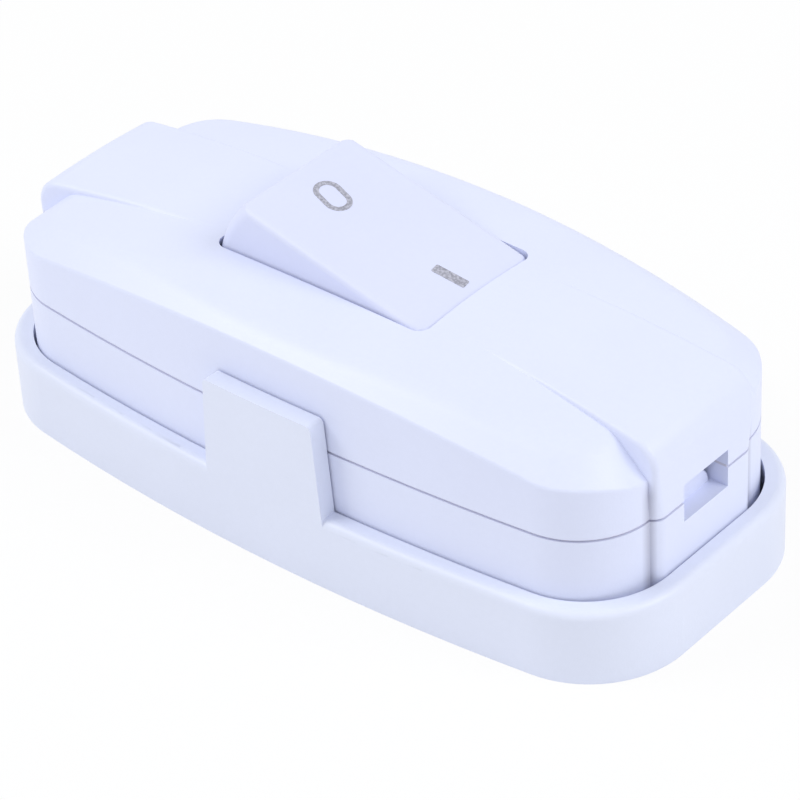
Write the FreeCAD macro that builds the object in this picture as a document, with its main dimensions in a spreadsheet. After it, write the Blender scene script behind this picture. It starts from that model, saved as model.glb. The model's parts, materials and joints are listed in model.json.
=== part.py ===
import FreeCAD, Part
import math
import os
import Sketcher

# Inline cord switch in its wall bracket, millimetres, +Z up.
# The origin is the middle of the bracket's underside, +X runs along the cord towards the end
# whose rocker half is pressed, and the front is the -Y side.

Vector = FreeCAD.Vector
doc = FreeCAD.newDocument("InlineCordSwitch")

SIZES = {
    # outline of the housing, seen from above: bulged long sides and rounded corners
    "body_half_length": 40.0,
    "body_half_width": 17.95,
    "body_bulge": 2.8,
    "body_corner": 8.5,
    "nose_reach": 0.93,
    "nose_half_width": 8.0,
    "nose_root_half_width": 6.8,
    "nose_corner": 1.5,
    "shell_wall": 2.0,
    # heights of the housing
    "body_base": 2.2,
    "base_round": 1.2,
    "parting_drop": 6.56,
    "parting_groove": 0.3,
    "parting_groove_depth": 0.25,
    "lip_height": 1.2,
    "lip_wall": 0.9,
    "lip_gap": 0.1,
    # crown of the top cover: a flat middle arc and rounder ends, barrel-shaped across
    "crown_over_pivot": 5.1,
    "crown_flat_half": 11.0,
    "crown_flat_radius": 600.0,
    "crown_end_sag": 2.94,
    "crown_cross_radius": 111.0,
    "crown_round": 4.0,
    # raised spine that runs from the crown out over each nose
    "spine_start": 3.7,
    "spine_drop": 0.2,
    "spine_end_sag": 2.47,
    "spine_edge": 0.6,
    "nose_top_round": 3.0,
    # sloped band between the crown and the side walls
    "band_drop": 2.66,
    "band_depth": 4.44,
    "band_setback": 4.6,
    "band_bulge": 7.6,
    "band_corner": 9.0,
    "band_slope": 0.9,
    "shoulder_round": 0.4,
    # rocker: a drum sector with a flat top
    "pivot_height": 22.0,
    "pivot_place": -0.6,
    "rocker_tilt": 14.2,
    "drum_radius": 14.25,
    "drum_gap": 0.3,
    "rocker_half_width": 8.5,
    "rocker_side_gap": 0.24,
    "rocker_top": 7.58,
    "rocker_skirt": 2.0,
    "rocker_wall": 1.7,
    "rocker_edge": 0.8,
    "rocker_end_edge": 0.6,
    "rocker_corner": 1.4,
    "trunnion_radius": 1.5,
    "trunnion_reach": 2.2,
    "ear_gap": 0.3,
    "ear_wall": 2.2,
    "ear_half_length": 3.4,
    "ear_drop": 3.0,
    "running_fit": 0.05,
    # poles: plungers, springs and rocking blades
    "pole_offset": 4.5,
    "post_radius": 2.5,
    "plunger_radius": 1.6,
    "plunger_fit": 0.06,
    "tip_radius": 1.0,
    "tip_gap": 0.04,
    "spring_room": 7.12,
    "spring_gap": 0.02,
    "spring_wire": 0.4,
    "spring_turns": 3.0,
    "fulcrum_share": 0.6363636,
    "fulcrum_radius": 0.6,
    "blade_tilt": 8.0,
    "blade_thickness": 1.0,
    "blade_lift": 0.1,
    "blade_contact_end": 7.6,
    "blade_free_end": 5.5,
    "blade_width": 3.6,
    "contact_arm": 6.0,
    "contact_radius": 1.5,
    "contact_dome": 2.5,
    "contact_height": 0.7,
    "contact_shank": 0.8,
    "rivet_fit": 0.02,
    # terminals and their carrier
    "strip_share": 0.3636364,
    "strip_thickness": 1.0,
    "strip_width": 5.0,
    "strip_setback": 6.0,
    "terminal_setback": 3.5,
    "screw_fit": 0.02,
    "terminal_screw_radius": 1.5,
    "terminal_head_radius": 2.4,
    "terminal_head_height": 1.9,
    "terminal_screw_share": 0.75,
    "slot_width": 0.7,
    "slot_depth": 0.8,
    "carrier_margin": 1.5,
    "carrier_half_width": 8.0,
    "barrier_wall": 1.6,
    "barrier_drop": 9.4,
    "screw_well": 0.5,
    # cord openings and cord clamps
    "cord_half_width": 3.55,
    "cord_half_height": 2.2,
    "clamp_setback": 6.5,
    "clamp_half_depth": 2.5,
    "clamp_half_width": 7.2,
    "clamp_thickness": 2.2,
    "clamp_round": 1.8,
    "clamp_headroom": 0.2,
    "clamp_screw_offset": 5.4,
    "clamp_screw_radius": 1.25,
    "clamp_head_radius": 1.8,
    "clamp_head_height": 1.2,
    "clamp_screw_length": 11.0,
    "saddle_drop": 2.84,
    # screws and pegs that join the two covers
    "joint_setback": 13.0,
    "joint_inset": 6.95,
    "joint_boss": 2.9,
    "joint_screw_radius": 1.5,
    "joint_head_radius": 2.7,
    "joint_head_height": 1.9,
    "joint_head_sink": 2.4,
    "joint_shank_gap": 0.15,
    "joint_screw_grip": 1.56,
    "peg_radius": 1.4,
    "peg_length": 3.0,
    # wall bracket: shallow tray with two clip tabs
    "tray_wall": 2.0,
    "tray_gap": 0.2,
    "tray_end_gap": 0.2,
    "tray_bulge": 3.6,
    "tray_corner": 11.3,
    "tray_inner_corner": 10.0,
    "tray_rim": 8.57,
    "tray_rim_round": 0.9,
    "tab_over_parting": 4.26,
    "tab_offset": 0.9,
    "tab_top_half": 7.1,
    "tab_foot_half": 8.1,
    "tab_corner": 0.6,
    "snap_over_parting": 2.16,
    "snap_half_length": 5.0,
    "snap_radius": 0.6,
    "snap_gap": 0.1,
    "wall_hole_place": 20.0,
    "wall_hole_radius": 2.1,
    "wall_sink_radius": 4.1,
}

# Sizes that follow from the ones above
DERIVED = {
    "parting_height": "pivot_height - parting_drop",
    "fulcrum_height": "pivot_height * fulcrum_share",
    "strip_height": "pivot_height * strip_share",
    "crown_height": "pivot_height + crown_over_pivot",
    "crown_end_radius": "( body_half_length - crown_flat_half ) ^ 2 / ( 2 * crown_end_sag )",
    "spine_height": "crown_height - spine_drop",
    "spine_radius": "( body_half_length - crown_flat_half ) ^ 2 / ( 2 * spine_end_sag )",
    "band_height": "crown_height - band_drop",
    "band_foot": "band_height - band_depth",
    "band_half_length": "body_half_length - band_setback",
    "nose_end": "body_half_length + nose_reach",
    "nose_root": "crown_flat_half + spine_start",
    "clamp_place": "body_half_length - clamp_setback",
    "clamp_seat": "parting_height + cord_half_height + clamp_headroom",
    "saddle_height": "parting_height - saddle_drop",
    "strip_reach": "clamp_place - clamp_half_depth - strip_setback",
    "terminal_screw_place": "strip_reach - terminal_setback",
    "terminal_screw_length":
        "( strip_height + strip_thickness - body_base - shell_wall ) * terminal_screw_share",
    "carrier_half_length": "strip_reach + carrier_margin",
    "barrier_height": "pivot_height - barrier_drop",
    "joint_x": "body_half_length - joint_setback",
    "joint_y": "body_half_width - joint_inset",
    "joint_screw_length": "parting_height + joint_screw_grip",
    "tab_top": "parting_height + tab_over_parting",
    "snap_height": "parting_height + snap_over_parting",
    "tip_reach": "pivot_height - fulcrum_height - blade_lift - blade_thickness - tip_gap",
    "plunger_top": "rocker_top - spring_room - rocker_wall",
    "spring_top": "rocker_top - rocker_wall",
    "dome_centre": "contact_dome - contact_height + blade_lift",
}

sheet = doc.addObject("Spreadsheet::Sheet", "Sizes")
cells = {alias: str(number) for alias, number in SIZES.items()}
cells.update({alias: "=" + formula for alias, formula in DERIVED.items()})
for row, alias in enumerate(cells, start=1):
    sheet.set(f"A{row}", alias)
    sheet.setAlias(f"B{row}", alias)
for row, content in enumerate(cells.values(), start=1):
    sheet.set(f"B{row}", content)
doc.recompute()


def size(alias):
    return float(sheet.get(alias))


def cell(text):
    """Names in the text become cells of the sheet."""
    return " ".join("Sizes." + word if word in cells else word for word in text.split())


def bind(thing, prop, text):
    thing.setExpression(prop, cell(text))


def value(text):
    return float(sheet.evalExpression(cell(text)))


def block(name, x, y, z):
    """Box from low to high along each axis, every limit an expression."""
    box = doc.addObject("Part::Box", name)
    for axis, length, (low, high) in zip("xyz", ("Length", "Width", "Height"), (x, y, z)):
        bind(box, "Placement.Base." + axis, low)
        bind(box, length, f"( {high} ) - ( {low} )")
    return box


def rod(name, radius, low, high, at=("0", "0"), along="z"):
    """Cylinder from low to high along an axis, at two places on the other axes in x, y, z order."""
    cylinder = doc.addObject("Part::Cylinder", name)
    turns = {"z": (Vector(0, 0, 1), 0), "y": (Vector(1, 0, 0), -90), "x": (Vector(0, 1, 0), 90)}
    cylinder.Placement = FreeCAD.Placement(Vector(), FreeCAD.Rotation(*turns[along]))
    others = [axis for axis in "xyz" if axis != along]
    for axis, place in zip(others, at):
        bind(cylinder, "Placement.Base." + axis, place)
    bind(cylinder, "Placement.Base." + along, low)
    bind(cylinder, "Radius", radius)
    bind(cylinder, "Height", f"( {high} ) - ( {low} )")
    return cylinder


def fuse(name, *pieces):
    joined = doc.addObject("Part::MultiFuse", name)
    joined.Shapes = list(pieces)
    joined.Refine = True
    return joined


def common(name, *pieces):
    shared = doc.addObject("Part::MultiCommon", name)
    shared.Shapes = list(pieces)
    return shared


def cut(name, base, *tools):
    tool = tools[0] if len(tools) == 1 else fuse(name + "_tools", *tools)
    rest = doc.addObject("Part::Cut", name)
    rest.Base = base
    rest.Tool = tool
    rest.Refine = True
    return rest


def mirrored(name, thing, normal):
    copy = doc.addObject("Part::Mirroring", name)
    copy.Source = thing
    copy.Normal = normal
    return copy


def origin_plane(body, role):
    return next(plane for plane in body.Origin.OriginFeatures if plane.Role == role)


def new_sketch(body, name, role, offset=None):
    sketch = body.newObject("Sketcher::SketchObject", name)
    sketch.AttachmentSupport = [(origin_plane(body, role), "")]
    sketch.MapMode = "FlatFace"
    if offset:
        bind(sketch, "AttachmentOffset.Base.z", offset)
    return sketch


def dimension(sketch, kind, *where, text):
    index = sketch.addConstraint(Sketcher.Constraint(kind, *where, value(text)))
    sketch.renameConstraint(index, f"{kind}{index}")
    bind(sketch, f"Constraints.{kind}{index}", text)


def place_point(sketch, geometry, vertex, across, up):
    dimension(sketch, "DistanceX", -1, 1, geometry, vertex, text=across)
    dimension(sketch, "DistanceY", -1, 1, geometry, vertex, text=up)


def polygon(body, name, role, corners, offset=None):
    """Closed sketch of straight lines, each corner placed by two expressions."""
    sketch = new_sketch(body, name, role, offset)
    count = len(corners)
    places = [Vector(value(across), value(up), 0) for across, up in corners]
    for number in range(count):
        sketch.addGeometry(Part.LineSegment(places[number], places[(number + 1) % count]))
    for number in range(count):
        sketch.addConstraint(Sketcher.Constraint("Coincident", number, 2, (number + 1) % count, 1))
    for number, (across, up) in enumerate(corners):
        place_point(sketch, number, 1, across, up)
    return sketch


def pad(body, name, sketch, length, midplane=False):
    solid = body.newObject("PartDesign::Pad", name)
    solid.Profile = sketch
    solid.Midplane = midplane
    bind(solid, "Length", length)
    return solid


def fillet(body, name, feature, radius, chosen):
    """Rounds the edges of a feature for which the test is true."""
    doc.recompute()
    edges = [f"Edge{n}" for n, edge in enumerate(feature.Shape.Edges, start=1) if chosen(edge)]
    rounded = body.newObject("PartDesign::Fillet", name)
    rounded.Base = (feature, edges)
    bind(rounded, "Radius", radius)
    return rounded


def is_upright(edge):
    ends = [vertex.Point for vertex in edge.Vertexes]
    return len(ends) == 2 and (ends[0] - ends[1]).cross(Vector(0, 0, 1)).Length < 1e-6


def bulged_sketch(body, half_length, half_width, bulge, offset):
    """Two straight ends and two bulged long sides, symmetric about both axes."""
    sketch = new_sketch(body, "Outline", "XY_Plane", offset)
    arc_radius = f"( ( {half_length} ) ^ 2 + ( {bulge} ) ^ 2 ) / ( 2 * ( {bulge} ) )"
    a, b, radius = value(half_length), value(half_width), value(arc_radius)
    turn = math.asin(a / radius)
    for side in (-1, 1):
        middle = side * math.pi / 2
        circle = Part.Circle(Vector(0, side * (b - radius), 0), Vector(0, 0, 1), radius)
        sketch.addGeometry(Part.ArcOfCircle(circle, middle - turn, middle + turn))
    end = b - radius + math.sqrt(radius ** 2 - a ** 2)
    sketch.addGeometry(Part.LineSegment(Vector(a, -end, 0), Vector(a, end, 0)))
    sketch.addGeometry(Part.LineSegment(Vector(-a, end, 0), Vector(-a, -end, 0)))
    for first, second in (((0, 2), (2, 1)), ((2, 2), (1, 1)), ((1, 2), (3, 1)), ((3, 2), (0, 1))):
        sketch.addConstraint(Sketcher.Constraint("Coincident", *first, *second))
    sketch.addConstraint(Sketcher.Constraint("Vertical", 2))
    sketch.addConstraint(Sketcher.Constraint("Vertical", 3))
    for arc in (0, 1):
        sketch.addConstraint(Sketcher.Constraint("PointOnObject", arc, 3, -2))
        dimension(sketch, "Radius", arc, text=arc_radius)
    reach = f"{arc_radius} - ( {half_width} )"
    dimension(sketch, "DistanceY", -1, 1, 0, 3, text=reach)
    dimension(sketch, "DistanceY", 1, 3, -1, 1, text=reach)
    dimension(sketch, "DistanceX", -1, 1, 2, 1, text=half_length)
    dimension(sketch, "DistanceX", 3, 1, -1, 1, text=half_length)
    return sketch


def is_level(edge):
    return edge.BoundBox.ZLength < 1e-6


def normal_of(face):
    """Direction that the middle of a face looks in."""
    low_u, high_u, low_v, high_v = face.ParameterRange
    return face.normalAt((low_u + high_u) / 2, (low_v + high_v) / 2)


def edges_between(shape, first, second):
    """Numbers of the edges where a face of the first sort meets one of the second."""

    def edges_of(sort):
        return [edge for face in shape.Faces if sort(normal_of(face)) for edge in face.Edges]

    first_edges = edges_of(first)
    second_edges = edges_of(second)
    return [
        number for number, edge in enumerate(shape.Edges, start=1)
        if any(edge.isSame(other) for other in first_edges)
        and any(edge.isSame(other) for other in second_edges)
    ]


def round_edges(name, thing, rounds):
    """Rounds edges, each told by its number and the radii at its last and its first point."""
    rounded = doc.addObject("Part::Fillet", name)
    rounded.Base = thing
    rounded.Edges = rounds
    return rounded


def soften(name, thing, radius, first, second):
    """Rounds every edge where a face of the first sort meets one of the second."""
    doc.recompute()
    wanted = edges_between(thing.Shape, first, second)
    return round_edges(name, thing, [(number, size(radius), size(radius)) for number in wanted])


def soften_nose(name, thing):
    """Rounds the spine's edges, and below them the upright corners, more and more towards their foot."""
    doc.recompute()
    shape = thing.Shape
    small, large = size("spine_edge"), size("nose_corner")
    along_spine = edges_between(shape, is_crown, is_side_wall)
    over_end = edges_between(shape, is_band, is_side_wall)
    rounds = [(number, small, small) for number in along_spine + over_end]
    for number in edges_between(shape, is_end_wall, is_side_wall):
        first, last = shape.Edges[number - 1].Vertexes
        upwards = first.Point.z < last.Point.z
        rounds.append((number, small, large) if upwards else (number, large, small))
    return round_edges(name, thing, rounds)


# Sorts of face, told by the direction they look in: the steepest crown leans less than the band
CROWN_LEAN = 0.93
WALL_LEAN = 0.05


def is_crown(normal):
    return normal.z > CROWN_LEAN


def is_band(normal):
    return WALL_LEAN < normal.z <= CROWN_LEAN


def is_wall(normal):
    return abs(normal.z) <= WALL_LEAN


def is_side_wall(normal):
    return is_wall(normal) and abs(normal.y) > abs(normal.x)


def is_end_wall(normal):
    return normal.x > CROWN_LEAN


def bulged_pad(name, half_length, half_width, bulge, corner, low, high, taper=None):
    """Upright or tapered block with the bulged outline and rounded corners."""
    body = doc.addObject("PartDesign::Body", name)
    sketch = bulged_sketch(body, half_length, half_width, bulge, low)
    solid = pad(body, "Block", sketch, f"( {high} ) - ( {low} )")
    if taper:
        bind(solid, "TaperAngle", taper)
        doc.recompute()
        fillet(body, "Corners", solid, corner, lambda edge: not is_level(edge))
        return body
    fillet(body, "Corners", solid, corner, is_upright)
    return body


def base_rounded(body, radius):
    """Rounds the lower edge of an upright block."""
    doc.recompute()
    low = body.Shape.BoundBox.ZMin
    fillet(body, "Base_round", body.Tip, radius, lambda edge: edge.BoundBox.ZMax < low + 1e-4)
    return body


def profile_pad(name, role, corners, length):
    """Straight-sided plate, drawn in a plane of the frame and padded evenly to both sides of it."""
    body = doc.addObject("PartDesign::Body", name)
    sketch = polygon(body, "Profile", role, corners)
    pad(body, "Plate", sketch, length, midplane=True)
    return body


# Housing forms, used for the outside and again, set in by a wall, for the hollow

def wall_form(name, inset, low, high):
    """Upright block with the outline of the housing."""
    return bulged_pad(
        name,
        f"body_half_length - {inset}",
        f"body_half_width - {inset}",
        "body_bulge",
        f"body_corner - {inset}",
        low,
        high,
    )


def band_form(name, inset):
    """Tapered block whose sides are the sloped band below the crown."""
    spread = f"( band_height - band_foot ) / band_slope - {inset} * sqrt( 1 + 1 / band_slope ^ 2 )"
    return bulged_pad(
        name,
        f"band_half_length + {spread}",
        f"body_half_width + {spread}",
        "band_bulge",
        f"band_corner - {inset}",
        "band_foot",
        "crown_height + 0.5",
        taper="0 deg - atan( 1 / band_slope )",
    )


def barrel(name, outline):
    """Turns an outline in the XZ plane about a far axis below it, so that its top bulges across too."""
    axis_height = size("crown_height") - size("crown_cross_radius")
    wire = doc.addObject("Part::Feature", name + "_outline")
    wire.Shape = Part.Wire(Part.__sortEdges__(outline))
    turned = doc.addObject("Part::Revolution", name)
    turned.Source = wire
    turned.Base = Vector(0, 0, axis_height)
    turned.Axis = Vector(1, 0, 0)
    turned.Angle = 2 * math.degrees(math.asin(1.25 * size("body_half_width") / size("crown_cross_radius")))
    turned.Symmetric = True
    turned.Solid = True
    return turned


def offset_bulge(gap, half_length):
    """Bulge of a long side that runs at a gap outside the housing's, over another half-length."""
    arc_radius = f"( ( body_half_length ^ 2 + body_bulge ^ 2 ) / ( 2 * body_bulge ) + {gap} )"
    return f"( {arc_radius} - sqrt( {arc_radius} ^ 2 - ( {half_length} ) ^ 2 ) )"


def crown_form(name, inset):
    """Barrel under the crown: a flat middle arc that runs on into rounder arcs at both ends."""
    flat = size("crown_flat_half")
    flat_radius = size("crown_flat_radius") - inset
    end_radius = size("crown_end_radius") - inset
    middle = Vector(0, 0, size("crown_height") - size("crown_flat_radius"))
    turn = math.asin(flat / size("crown_flat_radius"))

    def on_middle(angle):
        return middle + Vector(math.sin(angle), 0, math.cos(angle)) * flat_radius

    def on_end(angle):
        centre_reach = size("crown_flat_radius") - size("crown_end_radius")
        centre = middle + Vector(math.sin(turn), 0, math.cos(turn)) * centre_reach
        return centre + Vector(math.sin(angle), 0, math.cos(angle)) * end_radius

    last = turn + math.asin(0.3)
    half = [
        Part.Arc(on_end(turn), on_end((turn + last) / 2), on_end(last)).toShape(),
        Part.LineSegment(on_end(last), Vector(on_end(last).x, 0, size("body_base"))).toShape(),
    ]
    other_half = [edge.mirror(Vector(), Vector(1, 0, 0)) for edge in half]
    top = Part.Arc(on_middle(-turn), on_middle(0), on_middle(turn)).toShape()
    floor_end = Vector(on_end(last).x, 0, size("body_base"))
    floor_start = Vector(-floor_end.x, 0, floor_end.z)
    floor = Part.LineSegment(floor_start, floor_end).toShape()
    return barrel(name, half + other_half + [top, floor])


def nose_block(name, inset, low, high):
    """Upright block under the right nose, flaring from its root on the crown to its end face."""
    body = doc.addObject("PartDesign::Body", name)
    end = f"nose_end - {inset}"
    corners = [
        ("nose_root", f"0 - nose_root_half_width + {inset}"),
        (end, f"0 - nose_half_width + {inset}"),
        (end, f"nose_half_width - {inset}"),
        ("nose_root", f"nose_root_half_width - {inset}"),
    ]
    sketch = polygon(body, "Plan", "XY_Plane", corners, offset=low)
    pad(body, "Block", sketch, f"( {high} ) - ( {low} )")
    return body


def nose_plan(name, inset, low, high):
    """Nose block with rounded upright corners at its end face."""
    body = nose_block(name, inset, low, high)
    end_place = value(f"nose_end - {inset}")
    fillet(
        body, "Corners", body.Tip, "nose_corner",
        lambda edge: is_upright(edge) and abs(edge.Vertexes[0].X - end_place) < 1e-3,
    )
    return body


def spine_form():
    """Barrel of the right spine, with the round over its end."""
    end = size("nose_end")
    round_radius = size("nose_top_round")
    spine_radius = size("spine_radius")
    middle = Vector(size("crown_flat_half"), 0, size("spine_height") - spine_radius)
    reach = spine_radius - round_radius
    turn = math.asin((end - round_radius - middle.x) / reach)
    round_centre = middle + Vector(math.sin(turn), 0, math.cos(turn)) * reach

    def on_spine(angle):
        return middle + Vector(math.sin(angle), 0, math.cos(angle)) * spine_radius

    def on_round(angle):
        return round_centre + Vector(math.sin(angle), 0, math.cos(angle)) * round_radius

    root = Vector(size("nose_root"), 0, size("body_base"))
    root_turn = math.asin((root.x - middle.x) / spine_radius)
    end_foot = Vector(end, 0, root.z)
    outline = [
        Part.Arc(on_spine(root_turn), on_spine((root_turn + turn) / 2), on_spine(turn)).toShape(),
        Part.Arc(on_spine(turn), on_round((turn + math.pi / 2) / 2), on_round(math.pi / 2)).toShape(),
        Part.LineSegment(on_round(math.pi / 2), end_foot).toShape(),
        Part.LineSegment(end_foot, root).toShape(),
        Part.LineSegment(root, on_spine(root_turn)).toShape(),
    ]
    return barrel("spine_barrel", outline)


def drum(name, radius, half_width, top, low, corner):
    """Sector of a drum about the rocker's pivot, cut flat above and below, with rounded corners."""
    body = doc.addObject("PartDesign::Body", name)
    sketch = new_sketch(body, "Sector", "XZ_Plane")
    turn_top = math.asin(value(top) / value(radius))
    turn_low = math.asin(value(low) / value(radius))
    for start, end in ((turn_low, turn_top), (math.pi - turn_top, math.pi - turn_low)):
        circle = Part.Circle(Vector(), Vector(0, 0, 1), value(radius))
        sketch.addGeometry(Part.ArcOfCircle(circle, start, end))
    across_top = value(radius) * math.cos(turn_top)
    across_low = value(radius) * math.cos(turn_low)
    for height, across in ((value(top), -across_top), (value(low), across_low)):
        sketch.addGeometry(Part.LineSegment(Vector(-across, height, 0), Vector(across, height, 0)))
    for first, second in (((0, 2), (2, 1)), ((2, 2), (1, 1)), ((1, 2), (3, 1)), ((3, 2), (0, 1))):
        sketch.addConstraint(Sketcher.Constraint("Coincident", *first, *second))
    for arc in (0, 1):
        sketch.addConstraint(Sketcher.Constraint("Coincident", arc, 3, -1, 1))
        dimension(sketch, "Radius", arc, text=radius)
    for line, height in ((2, top), (3, low)):
        sketch.addConstraint(Sketcher.Constraint("Horizontal", line))
        dimension(sketch, "DistanceY", -1, 1, line, 1, text=height)
    solid = pad(body, "Sector_pad", sketch, f"2 * ( {half_width} )", midplane=True)

    def is_end_corner(edge):
        return edge.Curve.TypeId == "Part::GeomCircle"

    fillet(body, "Corners", solid, corner, is_end_corner)
    return body


ENDS = ((1, "right"), (-1, "left"))
POLES = ((-1, "front"), (1, "rear"))


def signed(sign, text):
    return f"( {text} )" if sign > 0 else f"( 0 - ( {text} ) )"


def cord_opening(name):
    """Rounded passage for the cord through both ends, half in each cover."""
    body = doc.addObject("PartDesign::Body", name)
    half_width = "cord_half_width"
    low = "parting_height - cord_half_height"
    high = "parting_height + cord_half_height"
    corners = [
        (f"0 - {half_width}", low),
        (half_width, low),
        (half_width, high),
        (f"0 - {half_width}", high),
    ]
    sketch = polygon(body, "Mouth", "YZ_Plane", corners)
    pad(body, "Passage", sketch, "2 * ( nose_end + 1 )", midplane=True)
    return body


def parting_recess():
    """Thin ring cut into the outside of the top cover's lower edge, seen as the dark parting line."""
    depth = "parting_groove_depth"
    high = "parting_height + parting_groove"
    around = block(
        "recess_around",
        ("0 - body_half_length - 5", "body_half_length + 5"),
        ("0 - body_half_width - 5", "body_half_width + 5"),
        ("parting_height", high),
    )
    core = wall_form("recess_core", depth, "parting_height", high)
    nose = nose_plan("recess_nose", depth, "parting_height", high)
    return cut("parting_recess", around, core, nose, mirrored("recess_nose_left", nose, Vector(1, 0, 0)))


def joint_places():
    """Screws on one diagonal and pegs on the other, as signs of x and y."""
    return ((1, -1, "screw"), (-1, 1, "screw"), (1, 1, "peg"), (-1, -1, "peg"))


def upper_form(name, inset, low):
    """Everything under the crown and between the walls and the band, set in from the outside."""
    top = "crown_height + 1"
    under_band = fuse(
        name + "_under_band",
        band_form(name + "_band", inset),
        wall_form(name + "_lower_wall", inset, low, "band_foot"),
    )
    return common(
        name,
        wall_form(name + "_wall", inset, low, top),
        under_band,
        crown_form(name + "_crown", value(inset)),
    )


def make_top_cover():
    top = "crown_height + 1"
    sharp_nose = common(
        "sharp_nose",
        nose_block("nose_block_top", "0", "parting_height", top),
        spine_form(),
    )
    nose = soften_nose("nose_right", sharp_nose)
    sharp = upper_form("sharp_outside", "0", "parting_height")
    crowned = soften("crowned_outside", sharp, "crown_round", is_crown, is_band)
    outside = soften("top_outside", crowned, "shoulder_round", is_band, is_wall)
    shell = fuse(
        "top_shell",
        outside,
        nose,
        mirrored("nose_left", nose, Vector(1, 0, 0)),
    )
    hollow = upper_form("top_hollow", "shell_wall", "parting_height - 1")
    ears = []
    ear_y = "rocker_half_width + ear_gap"
    for sign, place in POLES:
        limits = (signed(sign, ear_y), signed(sign, ear_y + " + ear_wall"))
        ears.append(block(
            f"ear_{place}",
            ("pivot_place - ear_half_length", "pivot_place + ear_half_length"),
            limits if sign > 0 else limits[::-1],
            ("pivot_height - ear_drop", top),
        ))
    bosses = []
    holes = []
    for x_sign, y_sign, kind in joint_places():
        at = (signed(x_sign, "joint_x"), signed(y_sign, "joint_y"))
        name = f"{kind}_{'right' if x_sign > 0 else 'left'}"
        bosses.append(rod(f"top_boss_{name}", "joint_boss", "parting_height", top, at))
        if kind == "screw":
            depth = "body_base + joint_head_sink - joint_head_height + joint_screw_length + 0.5"
            bore = rod(f"top_core_{name}", "joint_screw_radius + screw_fit", "parting_height - 1", depth, at)
        else:
            depth = "parting_height + peg_length + 0.3"
            bore = rod(f"top_core_{name}", "peg_radius + running_fit", "parting_height - 1", depth, at)
        holes.append(bore)
    posts = common(
        "top_posts",
        fuse("top_tall_posts", *ears, *bosses),
        upper_form("post_limit", "shell_wall / 2", "parting_height"),
    )
    body = fuse("top_with_posts", cut("top_hollowed", shell, hollow), posts)
    window = drum(
        "window", "drum_radius + drum_gap", "rocker_half_width + rocker_side_gap",
        "drum_radius * 0.8", "0.5", "rocker_corner",
    )
    bind(window, "Placement.Base.x", "pivot_place")
    bind(window, "Placement.Base.z", "pivot_height")
    pivots = rod(
        "pivot_bore", "trunnion_radius + running_fit",
        "0 - rocker_half_width - trunnion_reach - 0.4", "rocker_half_width + trunnion_reach + 0.4",
        ("pivot_place", "pivot_height"), along="y",
    )
    rebate = cut(
        "top_rebate",
        wall_form("rebate_outer", "shell_wall - lip_wall - lip_gap", "parting_height - 1",
                  "parting_height + lip_height + lip_gap"),
        wall_form("rebate_inner", "shell_wall + lip_gap", "parting_height - 2", "parting_height + 3"),
    )
    snaps = [
        rod(f"snap_groove_{place}", "snap_radius + snap_gap",
            "tab_offset - snap_half_length - snap_gap", "tab_offset + snap_half_length + snap_gap",
            (signed(sign, "body_half_width + tray_gap"), "snap_height"), along="x")
        for sign, place in POLES
    ]
    return cut(
        "top_cover", body, window, pivots, rebate, parting_recess(),
        cord_opening("top_cord_opening"), *holes, *snaps,
    )


def make_bottom_cover():
    high = "parting_height"
    wall = base_rounded(wall_form("bottom_wall", "0", "body_base", high), "base_round")
    nose = base_rounded(nose_plan("nose_plan_bottom", "0", "body_base", high), "base_round")
    shell = fuse("bottom_shell", wall, nose, mirrored("nose_plan_left", nose, Vector(1, 0, 0)))
    hollow = wall_form("bottom_hollow", "shell_wall", "body_base + shell_wall", "parting_height + 1")
    lip = cut(
        "lip",
        wall_form("lip_outer", "shell_wall - lip_wall", "parting_height - 1", "parting_height + lip_height"),
        wall_form("lip_inner", "shell_wall", "parting_height - 2", "parting_height + 3"),
    )
    floor = "body_base + shell_wall - 0.5"
    carrier = block(
        "carrier",
        ("0 - carrier_half_length", "carrier_half_length"),
        ("0 - carrier_half_width", "carrier_half_width"),
        (floor, "strip_height"),
    )
    barrier = block(
        "barrier",
        ("0 - carrier_half_length", "carrier_half_length"),
        ("0 - barrier_wall / 2", "barrier_wall / 2"),
        ("strip_height - 1", "barrier_height"),
    )
    added = [carrier, barrier]
    for x_sign, end in ENDS:
        added.append(clamp_block(f"saddle_{end}", x_sign, floor, "saddle_height"))
    holes = []
    for x_sign, end in ENDS:
        for y_sign, pole in POLES:
            at = (signed(x_sign, "terminal_screw_place"), signed(y_sign, "pole_offset"))
            holes.append(rod(
                f"screw_well_{end}_{pole}", "terminal_screw_radius + screw_well",
                "strip_height + strip_thickness - terminal_screw_length - 0.5", "strip_height + 1", at,
            ))
            at = (signed(x_sign, "clamp_place"), signed(y_sign, "clamp_screw_offset"))
            holes.append(rod(
                f"clamp_core_{end}_{pole}", "clamp_screw_radius + screw_fit",
                "clamp_seat + clamp_thickness - clamp_screw_length - 0.3", "saddle_height + 1", at,
            ))
    for x_sign, y_sign, kind in joint_places():
        at = (signed(x_sign, "joint_x"), signed(y_sign, "joint_y"))
        name = f"{kind}_{'right' if x_sign > 0 else 'left'}"
        added.append(rod(f"bottom_boss_{name}", "joint_boss", floor, high, at))
        if kind == "screw":
            holes.append(rod(
                f"bottom_bore_{name}", "joint_screw_radius + joint_shank_gap",
                "body_base - 1", "parting_height + 1", at,
            ))
            holes.append(rod(
                f"bottom_sink_{name}", "joint_head_radius + joint_shank_gap",
                "body_base - 1", "body_base + joint_head_sink", at,
            ))
        else:
            added.append(rod(f"peg_{name}", "peg_radius", "parting_height - 1",
                             "parting_height + peg_length", at))
    body = fuse("bottom_with_posts", cut("bottom_hollowed", shell, hollow), lip, *added)
    return cut("bottom_cover", body, cord_opening("bottom_cord_opening"), *holes)


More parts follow.
